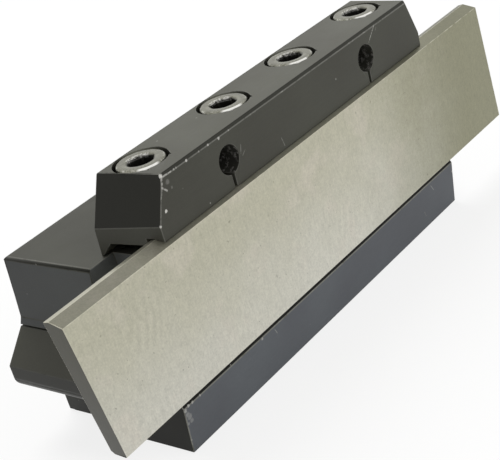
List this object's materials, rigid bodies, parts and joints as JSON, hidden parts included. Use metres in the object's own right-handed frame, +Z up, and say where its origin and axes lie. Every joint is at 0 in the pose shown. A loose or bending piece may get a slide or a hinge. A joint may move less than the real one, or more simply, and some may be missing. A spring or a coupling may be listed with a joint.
{
  "type": "parting blade holder",
  "caption": "Lathe block holder with a long flat cut-off blade on a front ledge, held down by a screwed clamp bar on top.",
  "frame": {"origin": "on the flat base, at the middle of the block's length and of the base's depth", "axes": "+X along the blade, blade side faces -Y, +Z up through the clamp screws"},
  "size_m": [0.1558, 0.0427, 0.0565],
  "materials": {
    "blackened_steel": "black oxide over ground steel, satin, with bare metal on worn corners",
    "ground_tool_steel": "surface ground high speed steel, satin, warm grey",
    "screw_steel": "dark alloy steel screws with bright worn rims"
  },
  "bodies": {
    "block": {"holder_body": "blackened_steel"},
    "blade": {"parting_blade": "ground_tool_steel"},
    "clamp": {"clamp_bar": "blackened_steel"},
    "screw_1": {"clamp_screw_1": "screw_steel"},
    "screw_2": {"clamp_screw_2": "screw_steel"},
    "screw_3": {"clamp_screw_3": "screw_steel"},
    "screw_4": {"clamp_screw_4": "screw_steel"}
  },
  "joints": [
    {"name": "blade_slide", "type": "slide", "parent": "block", "child": "blade", "axis": [1, 0, 0], "range_m": [-0.025, 0.025]},
    {"name": "clamp_lift", "type": "slide", "parent": "block", "child": "clamp", "axis": [0, 0, 1], "range_m": [0, 0.0015]},
    {"name": "screw_1_turn", "type": "hinge", "parent": "clamp", "child": "screw_1", "pos_m": [-0.03745, -0.0116, 0.05025], "axis": [0, 0, 1], "range_deg": [0, 545]},
    {"name": "screw_2_turn", "type": "hinge", "parent": "clamp", "child": "screw_2", "pos_m": [-0.01065, -0.0116, 0.05025], "axis": [0, 0, 1], "range_deg": [0, 545]},
    {"name": "screw_3_turn", "type": "hinge", "parent": "clamp", "child": "screw_3", "pos_m": [0.01385, -0.0116, 0.05025], "axis": [0, 0, 1], "range_deg": [0, 545]},
    {"name": "screw_4_turn", "type": "hinge", "parent": "clamp", "child": "screw_4", "pos_m": [0.04065, -0.0116, 0.05025], "axis": [0, 0, 1], "range_deg": [0, 545]}
  ],
  "couplings": [
    {"joint": "screw_1_turn", "follows": "clamp_lift", "rad_per_m": 6283.2},
    {"joint": "screw_2_turn", "follows": "clamp_lift", "rad_per_m": 6283.2},
    {"joint": "screw_3_turn", "follows": "clamp_lift", "rad_per_m": 6283.2},
    {"joint": "screw_4_turn", "follows": "clamp_lift", "rad_per_m": 6283.2}
  ]
}
